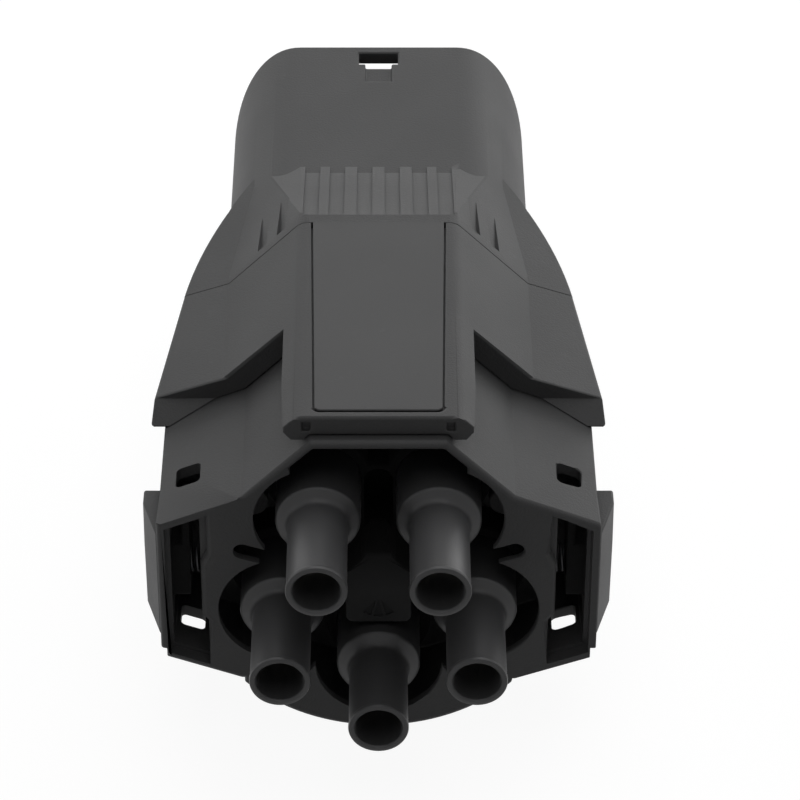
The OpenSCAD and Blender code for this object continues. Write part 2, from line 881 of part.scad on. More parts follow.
module contact(i) {
  front = tube_tip(i) + contact_recess;
  color(brass) place() at_ring(TUBE_ANGLES[i])
    difference() {
      turned() contact_profile(i);
      translate([-0.35, front - 1, -big / 2]) cube([0.7, socket_depth - 3, big]);
    }
}

// The ring springs that close the slotted sockets
module socket_springs() {
  color(steel) place()
    for (i = [0:4])
      at_ring(TUBE_ANGLES[i]) turned()
        translate([socket_r - 0.43, tube_tip(i) + contact_recess + 3.05]) square([0.42, 0.9]);
}

// The plate that holds the contacts and tubes in the insulator
module retainer_plate() {
  color(charcoal) place()
    difference() {
      union() {
        rod(retainer_y, retainer_y + retainer_t, retainer_r);
        for (a = BOARD_ANGLES) at_ring(a, board_screw_r) rod(retainer_y, board_y - seat_gap / 2, board_post_r);
      }
      for (a = TUBE_ANGLES) at_ring(a) rod(retainer_y - 1, retainer_y + retainer_t + 1, shank_r + seat_gap);
      for (a = SCREW_ANGLES)
        at_ring(a, screw_ring_r) rod(retainer_y - 1, retainer_y + retainer_t + 1, screw_r + screw_gap);
      for (a = BOARD_ANGLES)
        at_ring(a, board_screw_r)
          rod(board_y + board_t - board_screw_l - screw_tip, board_y + 1, small_r + screw_gap);
    }
}

// A pan-head screw with a cross recess; it points to the front from a head that seats at y
module screw(y, len, r = screw_r, hr = head_r, ht = head_t) {
  difference() {
    union() {
      rod(y - len, y + 0.1, r);
      turned() {
        translate([0, y]) square([hr - 0.5, ht]);
        translate([0, y]) square([hr, ht - 0.5]);
        translate([hr - 0.5, y + ht - 0.5]) circle(0.5, $fn = 16);
      }
    }
    for (a = [0, 90])
      rotate([0, a, 0]) translate([-hr * 0.6, y + ht * 0.4, -hr * 0.14]) cube([hr * 1.2, ht, hr * 0.28]);
  }
}

module retainer_screws() {
  color(steel) place()
    for (a = SCREW_ANGLES) at_ring(a, screw_ring_r) screw(retainer_y + retainer_t, retainer_screw_l);
}

// The coding board: a round board with clear holes for the contacts
module coding_board() {
  color(board_green) place()
    difference() {
      rod(board_y, board_y + board_t, board_r);
      for (a = TUBE_ANGLES) at_ring(a) rod(board_y - 1, board_y + board_t + 1, shank_r + 1);
      for (a = BOARD_ANGLES)
        at_ring(a, board_screw_r) rod(board_y - 1, board_y + board_t + 1, small_r + screw_gap);
    }
}

module board_screws() {
  color(steel) place()
    for (a = BOARD_ANGLES)
      at_ring(a, board_screw_r) screw(board_y + board_t, board_screw_l, small_r, small_head_r, small_head_t);
}

module coding_resistor() {
  color([0.75, 0.66, 0.50]) place()
    translate([-3.2, board_y + board_t, -1.3]) {
      translate([0, 1.3, 1.3]) rotate([0, 90, 0]) cylinder(h = 6.4, r = 1.2);
      for (x = [0.6, 5.8]) translate([x - 0.4, 0, 0.9]) cube([0.8, 1.3, 0.8]);
    }
}

module temperature_sensor() {
  color(dark) place()
    translate([-1.6, board_y + board_t, -9.2]) cube([3.2, 1.6, 2.4]);
}

// The plate behind the frame, with four posts that take the long screws
module mid_frame() {
  color(charcoal) place()
    difference() {
      union() {
        spigot(0, mid_y, mid_y + mid_t);
        for (a = POST_ANGLES)
          at_ring(a, screw_ring_r) rod(mid_y, insert_y - insert_nose - seat_gap / 2, mid_post_r);
      }
      for (a = TUBE_ANGLES) at_ring(a) rod(mid_y - 1, mid_y + mid_t + 1, shank_r + seat_gap);
      rod(mid_y - 1, mid_y + mid_t + 1, mid_hole_r);
      for (a = POST_ANGLES)
        at_ring(a, screw_ring_r) rod(post_screw_y - post_screw_l - screw_tip, insert_y, screw_r + screw_gap);
      for (p = mid_screw_places())
        translate([p[0], 0, p[1]]) rod(mid_y - 1, mid_y + mid_t + 1, screw_r + screw_gap);
    }
}

module mid_frame_screws() {
  color(steel) place()
    for (p = mid_screw_places()) translate([p[0], 0, p[1]]) screw(mid_y + mid_t, mid_screw_l);
}

module shell_seal() {
  y0 = mid_y + mid_t + seat_gap / 2;
  color(dark) place()
    difference() {
      spigot(0, y0, seam_y - spigot_len - seat_gap / 2);
      spigot(spigot_t, y0 - 1, seam_y);
    }
}

// The insert in the sleeve that the rear pins stand in
module pin_insert() {
  color(dark) place()
    difference() {
      union() {
        slab(insert_y, insert_y + insert_t) sleeve_outline(sleeve_wall + seat_gap);
        slab(insert_y - insert_nose, insert_y + 0.1) sleeve_outline(sleeve_wall + ledge_in + seat_gap);
        for (a = TUBE_ANGLES) at_ring(a) rod(insert_y, insert_y + insert_t + boss_out, pin_d / 2 + 2.5);
      }
      for (a = TUBE_ANGLES) at_ring(a) rod(insert_y - insert_nose - 1, insert_y + big, shank_r + shank_gap);
      for (a = POST_ANGLES)
        at_ring(a, screw_ring_r) {
          rod(insert_y - insert_nose - 1, insert_y + big, screw_r + screw_gap);
          rod(post_screw_y, insert_y + big, head_r + screw_gap);
        }
    }
}

module assembly_screws() {
  color(steel) place()
    for (a = POST_ANGLES) at_ring(a, screw_ring_r) screw(post_screw_y, post_screw_l);
}

// A side button, drawn for the right side: a wedge with a crease along its middle
function button_y1() = button_front + button_l;

module side_button() {
  back_x = frame_half_w - button_back_in;
  rear_x = frame_half_w + button_proud;
  front_x = frame_half_w + button_front_proud;
  flange_x = button_flange_x();
  flange_top = button_z + button_h / 2 + button_flange;
  difference() {
    union() {
      intersection() {
        translate([0, 0, button_z - button_h / 2])
          linear_extrude(button_h)
            polygon([
              [back_x, button_front], [front_x, button_front],
              [rear_x - button_crease, button_y1() - button_flat_l],
              [rear_x, button_y1()], [back_x, button_y1()]
            ]);
        slab(0, big)
          polygon([
            [0, button_z + button_h / 2], [rear_x - button_crease, button_z + button_h / 2],
            [rear_x, button_z], [rear_x - button_crease, button_z - button_h / 2], [0, button_z - button_h / 2]
          ]);
      }
      translate([flange_x, button_stem[0], button_stem_z[0]])
        cube([back_x - flange_x + 1, button_stem[1] - button_stem[0], button_stem_z[1] - button_stem_z[0]]);
      translate([flange_x, button_stem[0], button_stem_z[0]])
        cube([button_flange_t, button_y1() + button_flange - button_stem[0], flange_top - button_stem_z[0]]);
    }
    translate([flange_x - 1, spring_y(), button_z]) rotate([0, 90, 0])
      cylinder(h = pocket_depth + 1, r = spring_r + 0.4);
  }
}

function button_flange_x() = plate_half_w + button_travel + slide_gap;
function spring_y() = (button_stem[0] + button_stem[1]) / 2;

module left_button() {
  color(charcoal) place() mirror([1, 0, 0]) side_button();
}

module right_button() {
  color(charcoal) place() side_button();
}

// The spring behind a button, as a stack of rings from the partition to the button's pocket
module button_spring() {
  x0 = plate_half_w;
  x1 = button_flange_x() + pocket_depth;
  pitch = (x1 - x0 - spring_wire) / spring_turns;
  translate([0, spring_y(), button_z]) rotate([0, 90, 0])
    difference() {
      translate([0, 0, x0]) cylinder(h = x1 - x0, r = spring_r);
      translate([0, 0, x0 - 1]) cylinder(h = x1 - x0 + 2, r = spring_r - spring_wire);
      for (k = [0:spring_turns - 1])
        rotate([0, 0, 180 * (k % 2)])
          translate([-spring_r + 0.8, -5, x0 + spring_wire + k * pitch]) cube([10, 10, pitch - spring_wire]);
    }
}

module left_button_spring() {
  color(steel) place() mirror([1, 0, 0]) button_spring();
}

module right_button_spring() {
  color(steel) place() button_spring();
}

rear_shell();
front_cover();
label_plate();
contact_frame();
insulator_block();
contact_tube(0);  // tube_upper_left
contact_tube(1);  // tube_upper_right
contact_tube(2);  // tube_lower_left
contact_tube(3);  // tube_lower_right
contact_tube(4);  // tube_bottom
contact(0);  // contact_upper_left
contact(1);  // contact_upper_right
contact(2);  // contact_lower_left
contact(3);  // contact_lower_right
contact(4);  // contact_bottom
socket_springs();
retainer_plate();
retainer_screws();
coding_board();
coding_resistor();
temperature_sensor();
board_screws();
mid_frame();
mid_frame_screws();
shell_seal();
pin_insert();
assembly_screws();
left_button();
right_button();
left_button_spring();
right_button_spring();
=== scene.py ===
# %% [markdown]
# # A charging adapter with five contact tubes
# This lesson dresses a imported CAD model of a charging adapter. The solids already have their true
# sizes and places, so nothing is fitted by eye here. The moulded shells get the soft edges that a
# mould leaves, the contact tubes and the button springs are modelled anew, and every surface gets
# a finish of its own.

# %% Load the frame
import json
import math
import bpy
import bmesh
import numpy as np
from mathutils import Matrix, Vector, kdtree


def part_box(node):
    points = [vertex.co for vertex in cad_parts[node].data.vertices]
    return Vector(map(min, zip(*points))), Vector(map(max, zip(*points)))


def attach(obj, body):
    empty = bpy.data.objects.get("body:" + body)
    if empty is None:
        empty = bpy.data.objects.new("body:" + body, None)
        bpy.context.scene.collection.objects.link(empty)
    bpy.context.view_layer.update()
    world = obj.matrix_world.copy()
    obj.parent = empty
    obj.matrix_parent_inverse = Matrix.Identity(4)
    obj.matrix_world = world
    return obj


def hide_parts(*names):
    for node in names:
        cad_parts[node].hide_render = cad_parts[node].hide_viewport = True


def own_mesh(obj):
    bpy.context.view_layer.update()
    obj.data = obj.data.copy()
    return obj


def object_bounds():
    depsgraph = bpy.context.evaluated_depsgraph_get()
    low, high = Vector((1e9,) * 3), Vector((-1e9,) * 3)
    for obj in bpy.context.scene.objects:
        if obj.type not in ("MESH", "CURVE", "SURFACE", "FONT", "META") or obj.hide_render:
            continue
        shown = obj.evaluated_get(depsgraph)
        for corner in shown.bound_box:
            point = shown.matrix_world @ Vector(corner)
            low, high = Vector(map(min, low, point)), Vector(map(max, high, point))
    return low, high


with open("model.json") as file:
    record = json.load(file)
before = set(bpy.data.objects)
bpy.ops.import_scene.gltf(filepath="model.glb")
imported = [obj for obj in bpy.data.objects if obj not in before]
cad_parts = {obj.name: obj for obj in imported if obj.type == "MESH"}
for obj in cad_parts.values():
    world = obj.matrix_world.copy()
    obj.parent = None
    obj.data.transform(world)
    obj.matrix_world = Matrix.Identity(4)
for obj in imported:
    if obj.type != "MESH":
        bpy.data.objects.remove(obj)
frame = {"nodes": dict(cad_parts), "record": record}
cad_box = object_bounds()
MM = 0.001
print("size in mm", [round(v / MM, 1) for v in cad_box[1] - cad_box[0]])

# %% [markdown]
# ## Where things are
# Along Y the front lip of the cover is the natural zero for somebody who measures the adapter, and
# the contact ring's centre is the natural zero in height. Both come from the CAD nodes' own boxes,
# so they follow the solids wherever these are.

# %% Datum points
lip_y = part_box("front_cover")[0].y
plate_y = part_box("contact_frame")[0].y
ring_z = (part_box("front_cover")[0].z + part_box("front_cover")[1].z) / 2


def at(x, y, z):
    """A point given in millimetres from the cover's lip and the ring's centre"""
    return Vector((x * MM, lip_y + y * MM, ring_z + z * MM))


print("lip at Y", round(lip_y / MM, 2), "front plate at Y", round(plate_y / MM, 2),
      "ring at Z", round(ring_z / MM, 2))

# %% [markdown]
# ## The camera
# The photograph looks along the adapter from the contact side and from about 36 degrees above,
# through a long lens: the sleeve at the rear is hardly smaller than the front. The place and lens
# were worked out from the ring of equal tubes. A small shift moves the adapter left in the frame.

# %% Camera
VIEW_FROM = (0, -510, 414)
DOWN_DEG = 36.23
bpy.ops.object.select_all(action="DESELECT")
bpy.ops.object.camera_add(location=at(*VIEW_FROM), rotation=(math.radians(90 - DOWN_DEG), 0, 0))
camera = bpy.context.object
camera.name = "camera"
camera.data.sensor_width = 36
camera.data.lens = 162
camera.data.shift_x = 0.0269
camera.data.clip_start = 0.01
bpy.context.scene.camera = camera
print("camera", [round(v, 3) for v in camera.location], "lens", camera.data.lens)

# %% [markdown]
# ## Shader maths
# Grain, flow and wear are sums of small patterns. Linking their nodes by hand is slow and hard to
# read. So one class wraps a node's output, and Python's own operators add the Math nodes. A second
# one adds any other node, from its type, its settings and what its sockets get.

# %% Outputs to calculate with, and nodes
class Wire:
    """A node's output; an expression on it adds Math nodes"""

    def __init__(self, nodes, socket):
        self.nodes, self.socket = nodes, socket

    def math(self, operation, *others):
        values = {f"i{i}": value for i, value in enumerate((self, *others))}
        return self.nodes.node("Math", {"operation": operation}, **values)

    def __add__(self, other):
        return self.math("ADD", other)

    __radd__ = __add__

    def __mul__(self, other):
        return self.math("MULTIPLY", other)

    __rmul__ = __mul__

    def __sub__(self, other):
        return self.math("SUBTRACT", other)

    def __rsub__(self, other):
        return (self * -1.0) + other

    def clamp(self):
        return self.nodes.node("Clamp", Value=self)

    def step(self, low, high):
        """0 below low, 1 above high, smooth between"""
        return self.nodes.node("MapRange", {"interpolation_type": "SMOOTHSTEP"},
                               Value=self, From_Min=low, From_Max=high)


class Nodes:
    """Adds nodes to one tree"""

    def __init__(self, tree):
        self.tree = tree

    def node(self, kind, settings=None, out=0, **inputs):
        """One node, with its settings made first; a socket is named, or numbered as in i6"""
        node = self.tree.nodes.new("ShaderNode" + kind)
        for name, value in (settings or {}).items():
            setattr(node, name, value)
        for name, value in inputs.items():
            self.feed(node, name, value)
        return Wire(self, node.outputs[out])

    def feed(self, node, name, value):
        """Links a wire to a socket, or sets the socket's own value"""
        numbered = name[0] == "i" and name[1:].isdigit()
        socket = node.inputs[int(name[1:]) if numbered else name.replace("_", " ")]
        if isinstance(value, Wire):
            self.tree.links.new(value.socket, socket)
        else:
            socket.default_value = value


print("wires add, multiply and subtract")

# %% [markdown]
# ## What the finishes share
# Every finish is one material around Blender's Principled shader. Its patterns read Object
# coordinates. A finished piece keeps its place in its mesh, so these are true places in metres, and
# a grain of 0.4 mm is 0.4 mm on every piece.

# %% A finish
class Finish(Nodes):
    """A new material, with the patterns that several finishes use"""

    def __init__(self, name, **constants):
        self.material = bpy.data.materials.new(name)
        self.material.use_nodes = True
        super().__init__(self.material.node_tree)
        self.shader = self.tree.nodes["Principled BSDF"]
        self.set(**constants)

    def set(self, **inputs):
        for name, value in inputs.items():
            self.feed(self.shader, name, value)
        return self.material

    def place(self):
        return self.node("TexCoord", out="Object")

    def along(self, axis):
        return self.node("SeparateXYZ", out=axis, Vector=self.place())

    def noise(self, size_mm, detail=3.0, rough=0.55, where=None):
        return self.node("TexNoise", Vector=where or self.place(), Scale=1 / (size_mm * MM),
                         Detail=detail, Roughness=rough)

    def mix(self, amount, a, b):
        """From colour a to colour b as amount goes from 0 to 1"""
        a, b = (colour if isinstance(colour, Wire) else (*colour, 1.0) for colour in (a, b))
        return self.node("Mix", {"data_type": "RGBA"}, out=2, i0=amount, i6=a, i7=b)

    def bump(self, height, depth_mm):
        return self.node("Bump", Height=height, Distance=depth_mm * MM, Strength=1.0)


print("patterns are measured in millimetres")

# %% [markdown]
# ## The moulded charcoal plastic
# The shells are glass-filled nylon, moulded with a spark-eroded texture: tiny pits a few tenths of
# a millimetre apart, which make the surface dull and scatter the light into a fine speckle. Large
# soft patches come from the flow of the plastic, and handling polishes and lightens it a little.
# One recipe with other numbers makes the shells, tubes, insulator, label plate and seal. Surfaces
# that lie deep in a dark channel get painted shade there: a blacker colour and a duller surface.

# %% Plastic
FLOW_MM, SCUFF_MM = 14.0, 2.6
# The last factor is how dark painted shade makes the colour
DARKER, LIGHTER, SCUFFED, PAINTED_SHADE_TONE = 0.72, 1.28, 1.9, 0.2


def times(colour, factor):
    return tuple(value * factor for value in colour)


def plastic(name, colour, roughness, grain_mm, pit_mm, speckle=0.2, sheen=0.25, painted_shade=None):
    """The optional mask makes a wire that is 1 where shade is painted in: darker colour, rougher
    surface
    """
    finish = Finish(name, Specular_IOR_Level=sheen)
    grain = finish.noise(grain_mm, 2.0, 0.6)
    fine = finish.noise(grain_mm * 0.4, 1.0, 0.5)
    flow = finish.noise(FLOW_MM, 3.0, 0.5)
    scuff = finish.noise(SCUFF_MM, 4.0, 0.7).step(0.60, 0.78)
    tone = ((grain - 0.5) * speckle + (fine - 0.5) * (speckle * 0.7)
            + (flow - 0.5) * 0.12 + 0.5)
    base = finish.mix(tone.clamp(), times(colour, DARKER), times(colour, LIGHTER))
    base = finish.mix(scuff * 0.10, base, times(colour, SCUFFED))
    dull = (flow - 0.5) * 0.12 + (grain - 0.5) * 0.10 - scuff * 0.05 + roughness
    # Painted shade: where the mask is 1, the colour darkens and the surface gets rougher
    if painted_shade:
        inner = painted_shade(finish)
        base = finish.mix(inner, base, times(colour, PAINTED_SHADE_TONE))
        dull = dull + inner * 0.3
    pits = grain.step(0.32, 0.62) + fine * 0.5
    return finish.set(Base_Color=base, Roughness=dull.clamp(), Normal=finish.bump(pits, pit_mm))


print("flow patches", FLOW_MM, "mm, scuffs", SCUFF_MM, "mm")

# %% [markdown]
# ## Painted shade on deep surfaces
# A button's inner part slides in the frame's side channel, and the insulator's towers stand behind
# the front plate. Both lie deep in shade, so shade is painted into their colour, and they are made
# duller. Only the button's wedge outside and the post in the middle are left unshaded. Each is told
# by its place, because the shaded part and the rest belong to one moulding.

# %% Where shade is painted
channel_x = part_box("contact_frame")[1].x - 1 * MM


# Painted shade on a button's part inside the frame's side channel
def shade_in_channel(finish):
    return 1 - finish.along("X").math("ABSOLUTE").step(channel_x - 0.5 * MM, channel_x)


# Painted shade on the insulator's towers behind the front plate
def shade_behind_plate(finish):
    return finish.along("Y").step(plate_y, plate_y + 4 * MM)


print("buttons darken inside X", round(channel_x / MM, 1), "and the insulator behind Y",
      round(plate_y / MM, 1))

# %% [markdown]
# ## The plastics of this adapter
# Shells and buttons share one charcoal with a clear grain. The label plate is smoother, because a
# label has to stick to it, the tubes are satin, and the insulator and the seal are nearly black.

# %% Mix the plastics
SHELL = (0.066, 0.066, 0.067)
moulded = {"roughness": 0.58, "grain_mm": 0.42, "pit_mm": 0.02, "speckle": 0.34}
materials = {
    "charcoal": plastic("moulded_charcoal", SHELL, **moulded),
    # This finish paints shade on the button's part inside the side channel
    "button": plastic("button_charcoal", SHELL, **moulded, painted_shade=shade_in_channel),
    "label": plastic("smooth_label", (0.064, 0.064, 0.065), 0.50, 0.22, 0.006, speckle=0.08),
    # This finish paints shade on the towers behind the front plate
    "insulator": plastic("insulator_black", (0.050, 0.050, 0.051), 0.6, 0.4, 0.012, sheen=0.15,
                         painted_shade=shade_behind_plate),
    "tube": plastic("tube_satin", (0.080, 0.080, 0.082), 0.42, 0.26, 0.008, speckle=0.14,
                    sheen=0.32),
    "seal": plastic("seal_rubber", (0.03, 0.03, 0.03), 0.75, 0.5, 0.02),
}
print("plastics:", sorted(materials))

# %% [markdown]
# ## Metals
# Contacts are turned from a copper alloy and silver plated, so fine turning lines run round them
# and a warm tarnish gathers in patches. Screws and the ring springs of the sockets are zinc plated
# steel, and the button springs are blackened. A noise squeezed along Y draws the turning lines.

# %% Plate the metals
def plated(name, colour, tarnish, roughness, line_mm):
    finish = Finish(name, Metallic=1.0)
    spots = finish.noise(3.0, 4.0, 0.6).step(0.50, 0.72)
    squeezed = finish.node("Mapping", Vector=finish.place(), Scale=(0.15, 1.0, 0.15))
    lines = finish.noise(line_mm, 1.0, 0.4, squeezed)
    return finish.set(
        Base_Color=finish.mix(spots * 0.55, colour, tarnish),
        Roughness=(spots * 0.15 + (lines - 0.5) * 0.18 + roughness).clamp(),
        Normal=finish.bump(lines, 0.006),
    )


materials["contact"] = plated("contact_silver", (0.78, 0.76, 0.71), (0.55, 0.47, 0.36), 0.28, 0.5)
materials["steel"] = plated("zinc_steel", (0.60, 0.61, 0.63), (0.42, 0.42, 0.43), 0.36, 0.4)
materials["spring"] = plated("spring_black_oxide", (0.09, 0.09, 0.094), (0.05, 0.045, 0.04),
                             0.55, 0.3)
print("with metals:", sorted(materials))

# %% [markdown]
# ## Board and lacquer
# The board is green lacquer over glass fibre, whose weave shows faintly: two sets of bands that
# cross. The resistor and the sensor on it have the same clear coat over a brown body.

# %% Lacquer the board, and give every solid its finish
WEAVE_MM = 1.2


def lacquer(name, colour, fibre):
    finish = Finish(name, Roughness=0.35, Coat_Weight=0.4)

    def bands(axis):
        return finish.node("TexWave", {"wave_type": "BANDS", "bands_direction": axis}, out=1,
                           Vector=finish.place(), Scale=1 / (WEAVE_MM * MM))

    weave, cross, cloud = bands("X"), bands("Z"), finish.noise(4.0)
    amount = (weave * cross * 0.5 + cloud * 0.4).clamp()
    return finish.set(Base_Color=finish.mix(amount, colour, fibre),
                      Normal=finish.bump(weave + cross, 0.01))


materials["board"] = lacquer("board_green", (0.03, 0.16, 0.07), (0.07, 0.26, 0.12))
materials["component"] = lacquer("component_lacquer", (0.30, 0.22, 0.13), (0.42, 0.33, 0.21))
for entry in frame["record"]["subparts"]:
    solid = frame["nodes"][entry["node"]]
    solid.data.materials.clear()
    solid.data.materials.append(materials[entry["material_slot"]])

# %% [markdown]
# ## Soft edges on the moulded shells
# No moulded edge is sharp: the mould's own corners are rounded, and the edges catch a thin line of
# light. The solids have them sharp, which is right for their job. Each shell is copied, its loose
# triangles are merged into whole faces, and its sharp edges are bevelled.

# %% Merge a copy of a solid
WELD_MM, FLAT_DEG, SMOOTH_DEG = 0.002, 0.4, 12


def alone(piece):
    """Selects one piece and nothing else"""
    bpy.ops.object.select_all(action="DESELECT")
    piece.select_set(True)
    bpy.context.view_layer.objects.active = piece


def merged_copy(node, name):
    piece = bpy.data.objects.new(name, frame["nodes"][node].data.copy())
    bpy.context.scene.collection.objects.link(piece)
    alone(piece)
    bpy.ops.mesh.customdata_custom_splitnormals_clear()
    bpy.ops.object.mode_set(mode="EDIT")
    bpy.ops.mesh.select_all(action="SELECT")
    bpy.ops.mesh.remove_doubles(threshold=WELD_MM * MM)
    bpy.ops.mesh.dissolve_limited(angle_limit=math.radians(FLAT_DEG))
    bpy.ops.mesh.select_all(action="DESELECT")
    bpy.ops.object.mode_set(mode="OBJECT")
    bpy.ops.object.shade_smooth_by_angle(angle=math.radians(SMOOTH_DEG))
    return piece


print("corners closer than", WELD_MM, "mm become one")

# %% [markdown]
# ## Which edges can take a bevel
# A bevel eats into the faces beside its edge, so both have to be wide enough for it. Where a sharp
# edge leaves the end of a bevelled one at a small angle, the bevel would run far along it, so such
# an edge stays sharp too. The choice is kept on the mesh as a mark that survives copying.

# %% Choose the edges
SMALL_ANGLE_COSINE = 0.97


def across(face, edge):
    """A face's width in millimetres, measured away from one of its edges"""
    a, b = edge.verts[0].co, edge.verts[1].co
    along = (b - a).normalized()
    far = max(((v.co - a) - along * (v.co - a).dot(along)).length for v in face.verts)
    return far / MM


def narrow_end(edge, chosen):
    """Whether an edge that stays sharp leaves one of this edge's ends at a small angle"""
    for vert in edge.verts:
        along = (edge.other_vert(vert).co - vert.co).normalized()
        for other in vert.link_edges:
            away = (other.other_vert(vert).co - vert.co).normalized()
            if other not in chosen and along.dot(away) > SMALL_ANGLE_COSINE:
                return True
    return False


def mark_edges(piece, width_mm, turn, room, where):
    """Marks the edges to be bevelled and returns how many there are"""
    shape = bmesh.new()
    shape.from_mesh(piece.data)
    mark = shape.edges.layers.int.get("rounded") or shape.edges.layers.int.new("rounded")
    chosen = {
        edge for edge in shape.edges
        if edge.is_manifold and math.degrees(edge.calc_face_angle(0)) >= turn
        and min(across(face, edge) for face in edge.link_faces) >= room * width_mm
        and (where is None or where(edge))
    }
    chosen = {edge for edge in chosen if not narrow_end(edge, chosen)}
    for edge in shape.edges:
        edge[mark] = int(edge in chosen)
    shape.to_mesh(piece.data)
    shape.free()
    return len(chosen)


print("sharp neighbours within", round(math.degrees(math.acos(SMALL_ANGLE_COSINE))),
      "degrees keep an edge sharp")

# %% [markdown]
# ## How a bevel goes wrong
# A bevel that is too wide for a small feature folds over itself: two faces that share an edge then
# look in nearly opposite directions. It can also push a corner through the far side of a face,
# whose outline then runs across itself, so that the face covers an opening. Both are looked for.

# %% Find folds
FOLD_DEG = 150


def folds(mesh):
    """The middles of the edges whose two faces look in nearly opposite directions"""
    edges = np.empty(len(mesh.loops), dtype=int)
    mesh.loops.foreach_get("edge_index", edges)
    corners = np.empty(len(mesh.polygons), dtype=int)
    mesh.polygons.foreach_get("loop_total", corners)
    normals = np.empty(3 * len(mesh.polygons))
    mesh.polygons.foreach_get("normal", normals)
    normals = normals.reshape(-1, 3)
    faces = np.repeat(np.arange(len(corners)), corners)[np.argsort(edges, kind="stable")]
    edges = np.sort(edges)
    pair = edges[1:] == edges[:-1]
    turns = (normals[faces[1:][pair]] * normals[faces[:-1][pair]]).sum(axis=1)
    bad = edges[1:][pair][turns < math.cos(math.radians(FOLD_DEG))]
    ends = [[mesh.vertices[v].co for v in mesh.edges[int(e)].vertices] for e in bad]
    return [(p + q) / 2 for p, q in ends]


print("a fold turns by more than", FOLD_DEG, "degrees")

# %% [markdown]
# ## Outlines that cross themselves
# Testing every outline against itself is slow. But the triangles of such a face overlap, so they
# cover more than the face's own area, and only the faces where they do need the full test.

# %% Find crossed outlines
AREA_SHARE, AREA_SLACK = 1.03, 0.02 * MM ** 2
PARALLEL, END_SHARE = 1e-14, 0.001


def outline_crossings(points, normal):
    """Where two sides of a flat outline cross away from their ends"""
    u = normal.orthogonal().normalized()
    v = normal.cross(u)
    flat = np.array([(p.dot(u), p.dot(v)) for p in points])
    sides = np.roll(flat, -1, axis=0) - flat
    found = []
    for i, side in enumerate(sides):
        gap, others = flat[i + 1:] - flat[i], sides[i + 1:]
        turn = side[0] * others[:, 1] - side[1] * others[:, 0]
        turn[np.abs(turn) < PARALLEL] = np.inf
        mine = (gap[:, 0] * others[:, 1] - gap[:, 1] * others[:, 0]) / turn
        other = (gap[:, 0] * side[1] - gap[:, 1] * side[0]) / turn
        crossed = ((np.minimum(mine, other) > END_SHARE)
                   & (np.maximum(mine, other) < 1 - END_SHARE))
        if crossed.any():
            share = float(mine[crossed][0])
            found.append(points[i].lerp(points[(i + 1) % len(points)], share))
    return found


def crossings(mesh):
    """Where the outline of any face runs across itself"""
    mesh.calc_loop_triangles()
    covered = np.zeros(len(mesh.polygons))
    for triangle in mesh.loop_triangles:
        covered[triangle.polygon_index] += triangle.area
    found = []
    for face in mesh.polygons:
        if covered[face.index] >= AREA_SHARE * face.area + AREA_SLACK:
            points = [mesh.vertices[i].co for i in face.vertices]
            found += outline_crossings(points, face.normal)
    return found


print("full test where triangles cover over", AREA_SHARE, "of a face")

# %% [markdown]
# ## Bevel, test and try again
# The third fault is a stray vertex, far from where any was before. Where a fault shows, the marks
# on the edges around it are taken off, and the bevel is done again on the untouched copy, until
# nothing is wrong. If no mark was near enough to go, the reach is doubled for the next round.

# %% Look for faults and take marks off
FOLD_REACH, STRAY_WIDTHS, STRAY_REACH, SAME_MM = 2.5, 3, 1.2, 0.05


def faults(mesh, before, width_mm):
    """Places of new folds, crossings and vertices far from every old one, each with its reach"""
    places, old_folds = before
    found = [(fold, FOLD_REACH * width_mm * MM) for fold in folds(mesh) + crossings(mesh)
             if all((fold - old).length > SAME_MM * MM for old in old_folds)]
    for vertex in mesh.vertices:
        far = places.find(vertex.co)[2]
        if far > STRAY_WIDTHS * width_mm * MM:
            found.append((vertex.co.copy(), STRAY_REACH * far))
    return found


def distance(place, p, q):
    """From a place to the straight piece between two points"""
    share = min(max((place - p).dot(q - p) / max((q - p).length_squared, MM ** 4), 0), 1)
    return (p + (q - p) * share - place).length


def unmark(mesh, found, wider):
    """Takes the mark off the edges that come near a fault and returns how many there were"""
    mark = mesh.attributes["rounded"].data
    dropped = 0
    for edge in mesh.edges:
        if mark[edge.index].value:
            p, q = (mesh.vertices[v].co for v in edge.vertices)
            if any(distance(place, p, q) < reach * wider for place, reach in found):
                mark[edge.index].value = 0
                dropped += 1
    return dropped


print("a vertex is astray beyond", STRAY_WIDTHS, "bevel widths")

# %% [markdown]
# ## Rounding the edges of a piece
# Blender can clamp a bevel so that it never overlaps, but then one tiny feature makes it narrow all
# over the shell. So the clamp is off, and the tests above keep the width even where it fits.

# %% Round the edges
def bevel_marked(piece, width_mm, steps):
    alone(piece)
    bpy.ops.object.mode_set(mode="EDIT")
    bpy.ops.mesh.select_mode(type="EDGE")
    bpy.ops.mesh.select_all(action="DESELECT")
    shape = bmesh.from_edit_mesh(piece.data)
    mark = shape.edges.layers.int["rounded"]
    for edge in shape.edges:
        if edge[mark]:
            edge.select_set(True)
    bmesh.update_edit_mesh(piece.data)
    bpy.ops.mesh.bevel(offset=width_mm * MM, segments=steps, profile=0.5, clamp_overlap=False)
    bpy.ops.object.mode_set(mode="OBJECT")


